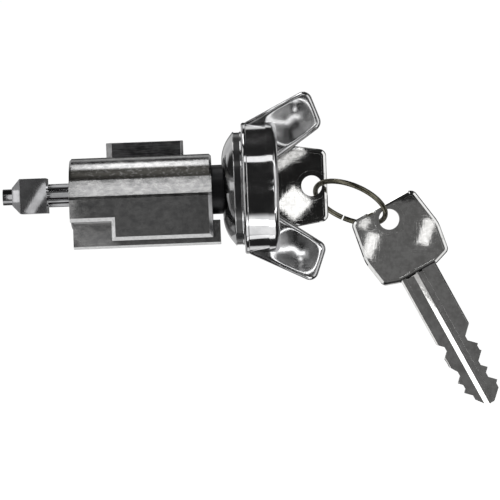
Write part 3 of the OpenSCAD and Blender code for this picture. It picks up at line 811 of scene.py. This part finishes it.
def grown(name, tree, values, place):
    # runs a Geometry Nodes tree on an empty mesh and keeps the result as a plain mesh
    piece = bpy.data.objects.new(name, bpy.data.meshes.new(name))
    scene.collection.objects.link(piece)
    grow = piece.modifiers.new("grow", "NODES")
    grow.node_group = tree
    ids = {s.name: s.identifier for s in tree.interface.items_tree if s.item_type == "SOCKET"}
    for key, value in values.items():
        grow[ids[key]] = value
    flattened(piece)
    piece.data.transform(place)
    return piece


# wire ring through both keys' holes, with a slit where its ends meet
ringSpec = {
    "middle": (34.414, 0.0, -4.5585), "radius": 9.3, "wire": 0.65, "slit": 0.35, "dip": 25.6, "lean": 64.5,
    "steps": 180, "sides": 24, "crease": 40,
}


def wireTree():
    tree, given = newTree("wireLoop", {
        "Radius": ("Float", 0.01), "Wire": ("Float", 0.001), "Start": ("Float", 0.0),
        "Sweep": ("Float", 6.0), "Steps": ("Int", 64), "Sides": ("Int", 12), "Finish": ("Material", None),
    })
    path = treeNode(tree, "GeometryNodeCurveArc", {"mode": "RADIUS"}, {
        "Resolution": given["Steps"], "Radius": given["Radius"],
        "Start Angle": given["Start"], "Sweep Angle": given["Sweep"],
    })
    return closeTree(tree, wireSkin(tree, path, given["Wire"], given["Sides"]), given["Finish"])


def keyRing(spec):
    slitAngle = spec["slit"] / spec["radius"]
    place = (
        Matrix.Translation(Vector(spec["middle"]) * mm)
        @ Matrix.Rotation(math.radians(spec["dip"]), 4, "Y")
        @ Matrix.Rotation(math.radians(90 + spec["lean"]), 4, "X")
    )
    piece = grown("wireRing", wireTree(), {
        "Radius": spec["radius"] * mm, "Wire": spec["wire"] * mm, "Start": slitAngle / 2 - math.pi / 2,
        "Sweep": 2 * math.pi - slitAngle, "Steps": spec["steps"], "Sides": spec["sides"],
        "Finish": finishes["ringWire"],
    }, place)
    evenNormals(piece, spec["crease"])
    settle(piece, "ring", ["key_ring"])
    return piece


print("ring made:", len(keyRing(ringSpec).data.polygons), "faces")


# springs: rows of coils, five under the driver pins and two under the latch
driverSpringSpec = {
    "first": (-10.4, 0.0, -12.6), "step": (-3.5, 0.0, 0.0), "count": 5, "radius": 1.0, "wire": 0.2,
    "height": 3.025, "turns": 5.0,
}
latchSpringSpec = {
    "first": (-22.75, 8.2, -4.25), "step": (12.0, 0.0, 0.0), "count": 2, "radius": 0.75, "wire": 0.2,
    "height": 7.6, "turns": 10.0, "travel": 3.6,
}
stepsPerTurn, wireSides, springCrease = 28, 10, 50


def springTree():
    tree, given = newTree("springRow", {
        "Radius": ("Float", 0.001), "Wire": ("Float", 0.0002), "Height": ("Float", 0.003),
        "Turns": ("Float", 5.0), "Count": ("Int", 2), "Step": ("Vector", (0.0, 0.0, 0.0)),
        "Finish": ("Material", None),
    })
    helix = treeNode(tree, "GeometryNodeCurveSpiral", {}, {
        "Resolution": stepsPerTurn, "Rotations": given["Turns"], "Start Radius": given["Radius"],
        "End Radius": given["Radius"], "Height": given["Height"],
    })
    coil = wireSkin(tree, helix, given["Wire"], wireSides)
    row = treeNode(tree, "GeometryNodeMeshLine", {"mode": "OFFSET"}, {
        "Count": given["Count"], "Offset": given["Step"],
    })
    placed = treeNode(tree, "GeometryNodeInstanceOnPoints", {}, {
        "Points": row.outputs["Mesh"], "Instance": coil,
    })
    return closeTree(tree, placed.outputs["Instances"], given["Finish"])


springRow = springTree()


def springs(name, spec, replaced):
    lift = Vector((0, 0, spec["wire"]))
    piece = grown(name, springRow, {
        "Radius": spec["radius"] * mm, "Wire": spec["wire"] * mm, "Turns": spec["turns"],
        "Height": (spec["height"] - 2 * spec["wire"]) * mm, "Count": spec["count"],
        "Step": [s * mm for s in spec["step"]], "Finish": finishes["springSteel"],
    }, Matrix.Translation((Vector(spec["first"]) + lift) * mm))
    evenNormals(piece, springCrease)
    settle(piece, "housing", replaced)
    return piece


driverSprings = springs("driverSprings", driverSpringSpec, [f"driver_spring_{i}" for i in range(1, 6)])
latchSprings = springs("latchSprings", latchSpringSpec, ["latch_spring_1", "latch_spring_2"])
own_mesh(latchSprings)
print("springs made:", len(driverSprings.data.polygons) + len(latchSprings.data.polygons), "faces")


# the small pins inside stay as the CAD has them
pinFinishes = {
    "driver_pin": "pinBrass", "key_pin": "pinBrass",
    "latch_pin": "turnedSteel", "tail_pin": "turnedSteel", "knob_pin": "turnedSteel",
}
for nodeName, node in cadNodes.items():
    for start, finishName in pinFinishes.items():
        if nodeName.startswith(start):
            node.data.materials.clear()
            node.data.materials.append(finishes[finishName])


# stage: a pale floor
floorSpec = {
    "z": -110 * mm, "reach": 2000 * mm, "roughness": 0.9, "glow": 0.9, "grain": 0.01,
    "tones": ((0.88, 0.88, 0.88), (0.92, 0.92, 0.92)),
}
# light tent: how bright each part is, and the smooth steps of the direction that bound it
tentSpec = {
    "dim": 0.02, "backdrop": 1.02, "fallLeast": 0.7, "fallUp": (-0.6, 0.2),
    "below": {
        "glow": 1.0, "from": (-0.7, -0.55), "to": (0.02, 0.15), "down": (0.3, 0.6), "narrow": (0.15, 0.35),
    },
    "sides": {
        "glow": 0.95, "from": (-0.86, -0.76), "to": (-0.4, -0.2), "tilt": 0.65, "wide": (0.0, 0.1),
        "leftEnd": (0.8, 0.88), "shade": 0.15, "shadeFrom": (0.08, 0.2), "shadeTo": (0.5, 0.6),
    },
    "behind": {"glow": 0.8, "from": (0.6, 0.68), "to": (0.8, 0.88), "narrow": (0.05, 0.12)},
    "rear": {
        "glow": 0.55, "from": (0.5, 0.66), "wide": (0.12, 0.3), "lowFrom": (0.87, 0.94), "lowTop": 0.05,
        "lowSoft": (0.0, 0.1),
    },
    "rims": {
        "glow": 1.4, "round": (0.05, 0.15), "wide": (0.9, 0.96), "right": (0.0, 0.5), "rightLoss": 0.5,
    },
    "fill": {"glow": 0.09, "to": (-0.8, -0.7), "wide": (0.15, 0.25)},
}
# soft boxes: middle, what it looks at, width and height in mm, how bright its face is, and its turn
boxSpecs = {
    "barrelBox": {"at": (-22, 10, 158), "aim": (-22, 10, 0), "size": (44, 76), "glow": 3.2},
    "ribCard": {"at": (-18, -15.6, 22), "aim": (-18, -9.6, 1), "size": (38, 4.2), "glow": 2.0},
    "coneCard": {"at": (-60.2, -2.1, 0.4), "aim": (-48.4, -4, 0.4), "size": (1.6, 3), "glow": 1.2},
    "faceBox": {"at": (-24, -200, -4), "aim": (-18, -10, -4), "size": (50, 70), "glow": 0.24},
    "drumBox": {"at": (12, -96, 108), "aim": (12, -15, 7), "size": (56, 26), "glow": 1.3},
    "upLeftBox": {"at": (-35.5, -100, 63), "aim": (-35.5, 0, 63), "size": (79, 63), "glow": 0.15},
    "upRightBox": {"at": (57, -100, 63), "aim": (57, 0, 63), "size": (76, 63), "glow": 0.05},
    "downMidBox": {"at": (28.5, -100, -60), "aim": (28.5, 0, -60), "size": (19, 60), "glow": 0.05},
    "spareBox": {"at": (60, -100, -38), "aim": (55, 0, -32), "size": (44, 70), "glow": 0.16},
    "grooveCard": {"at": (20, -37, -70), "aim": (59, 1, -45), "size": (11, 44), "glow": 2.2, "turn": 28},
    "edgeCard": {"at": (14, -3, -59), "aim": (53, -1, -36.5), "size": (8, 34), "glow": 1.2, "turn": 1},
}
# small reflectors near the camera's line: the place on a flat face where each is seen, and its size in mm
reflectorSpecs = {
    "bowLow": {"seenAt": (20.3, -4.2), "away": 60, "size": (7, 7), "glow": 1.8, "turn": 45},
    "bowHigh": {"seenAt": (19.8, 7.2), "away": 60, "size": (9, 2.6), "glow": 1.1, "turn": 32},
    "spareLeft": {"seenAt": (38.9, -15.4), "away": 60, "size": (3, 7), "glow": 1.5, "turn": -20},
    "spareRight": {"seenAt": (53.0, -12.6), "away": 60, "size": (3, 7), "glow": 1.5, "turn": -20},
    "wingHigh": {"seenAt": (24.0, 14.6), "away": 25, "size": (13, 2.4), "glow": 1.5, "turn": -8},
    "wingLow": {"seenAt": (24.0, -16.2), "away": 25, "size": (13, 2.4), "glow": 2.4, "turn": 4},
    "spareCorner": {"seenAt": (37.6, -9.8), "away": 60, "size": (3, 2.4), "glow": 1.2, "turn": 60},
    "blockLow": {"seenAt": (-43.0, -1.0), "away": 30, "size": (9, 2.2), "glow": 1.3, "turn": 55},
    "blockFace": {"seenAt": (-44.4, 0.0), "away": 60, "size": (14, 14), "glow": 0.12},
    "lowBlock": {"seenAt": (-29.2, -13.0), "away": 25, "size": (9, 7), "glow": 0.4},
    "shaftCard": {"seenAt": (-37.2, 0.4), "away": 30, "size": (6, 24), "glow": 0.9},
    "pilotCard": {"seenAt": (-49.95, 0.4), "away": 30, "size": (2.2, 40), "glow": 1.3},
}


def softBox(name, at, aim, size, glow, turn=0):
    data = bpy.data.lights.new(name, "AREA")
    data.shape = "RECTANGLE"
    data.size, data.size_y = size[0] * mm, size[1] * mm
    data.energy = glow * math.pi * data.size * data.size_y
    box = bpy.data.objects.new(name, data)
    scene.collection.objects.link(box)
    at, aim = Vector(at) * mm, Vector(aim) * mm
    facing = (aim - at).to_track_quat("-Z", "Y").to_matrix().to_4x4()
    box.matrix_world = Matrix.Translation(at) @ facing @ Matrix.Rotation(math.radians(turn), 4, "Z")
    box.visible_camera = False


def reflector(name, spec):
    # a flat mirror shows the reflector where the camera's line to its image crosses the face
    eye = scene.camera.matrix_world.translation / mm
    reach = -eye.y
    stretch = (reach + spec["away"]) / reach
    x = eye.x + (spec["seenAt"][0] - eye.x) * stretch
    z = eye.z + (spec["seenAt"][1] - eye.z) * stretch
    at, aim = (x, -spec["away"], z), (x, 0, z)
    softBox(name, at, aim, spec["size"], spec["glow"], spec.get("turn", 0))


def makeFloor(spec):
    reach, z = spec["reach"], spec["z"]
    mesh = bpy.data.meshes.new("floor")
    corners = [(-reach, -reach, z), (reach, -reach, z), (reach, reach, z), (-reach, reach, z)]
    mesh.from_pydata(corners, [], [(0, 1, 2, 3)])
    floor = bpy.data.objects.new("floor", mesh)
    scene.collection.objects.link(floor)
    material, wire, shader = newFinish("paleFloor")
    feed(wire, shader, colour=grain(wire, spec["grain"], (1, 1, 1), 2).shade(*spec["tones"]))
    shader.inputs["Roughness"].default_value = spec["roughness"]
    shader.inputs["Emission Color"].default_value = (1, 1, 1, 1)
    shader.inputs["Emission Strength"].default_value = spec["glow"]
    mesh.materials.append(material)
    floor.visible_glossy = False


def between(value, start, end):
    # one between two smooth steps and nought outside them
    return value.smooth(*start) * (1 - value.smooth(*end))


def tentLight(wire, spec):
    # brightness by direction: the polished faces show the bright and the dim parts
    way = wire.make("ShaderNodeTexCoord", out="Generated")
    x, y, z = (wire.make("ShaderNodeSeparateXYZ", {}, {"Vector": way}, name) for name in "XYZ")
    aside, down = abs(x), 0 - z
    part = spec["below"]
    below = between(y, part["from"], part["to"]) * down.smooth(*part["down"])
    light = spec["dim"] + below * (1 - aside.smooth(*part["narrow"])) * part["glow"]
    part = spec["sides"]
    sides = between(y, part["from"], part["to"]) * (aside - abs(z) * part["tilt"]).smooth(*part["wide"])
    sides = sides * (1 - (0 - x).smooth(*part["leftEnd"]))
    softened = 1 - part["shade"] * between(down, part["shadeFrom"], part["shadeTo"])
    light = light + sides * softened * part["glow"]
    part = spec["behind"]
    behind = between(y, part["from"], part["to"]) * (1 - aside.smooth(*part["narrow"]))
    light = light + behind * part["glow"]
    # the far half: flat backs show it, and from the front only thin rims do
    fall = spec["fallLeast"] + (1 - spec["fallLeast"]) * z.smooth(*spec["fallUp"])
    part = spec["rear"]
    wide = aside.smooth(*part["wide"])
    low = y.smooth(*part["lowFrom"]) * (part["lowTop"] - z).smooth(*part["lowSoft"])
    light = light + (y.smooth(*part["from"]) * wide + low * (1 - wide)) * fall * part["glow"]
    part = spec["rims"]
    rims = (1 - abs(y).smooth(*part["round"])) * aside.smooth(*part["wide"])
    light = light + rims * (1 - part["rightLoss"] * x.smooth(*part["right"])) * fall * part["glow"]
    part = spec["fill"]
    fill = (1 - y.smooth(*part["to"])) * aside.smooth(*part["wide"])
    return light + fill * part["glow"]


def makeTent(spec):
    world = bpy.data.worlds.new("studio")
    world.use_nodes = True
    scene.world = world
    wire = Wire(world.node_tree)
    seen = wire.make("ShaderNodeLightPath", out="Is Camera Ray")
    light = tentLight(wire, spec) * (1 - seen) + seen * spec["backdrop"]
    back = world.node_tree.nodes["Background"]
    world.node_tree.links.new(light.socket, back.inputs["Strength"])
    back.inputs["Color"].default_value = (1, 1, 1, 1)


makeFloor(floorSpec)
makeTent(tentSpec)
for name, box in boxSpecs.items():
    softBox(name, **box)
for name, card in reflectorSpecs.items():
    reflector(name, card)
print("stage made")
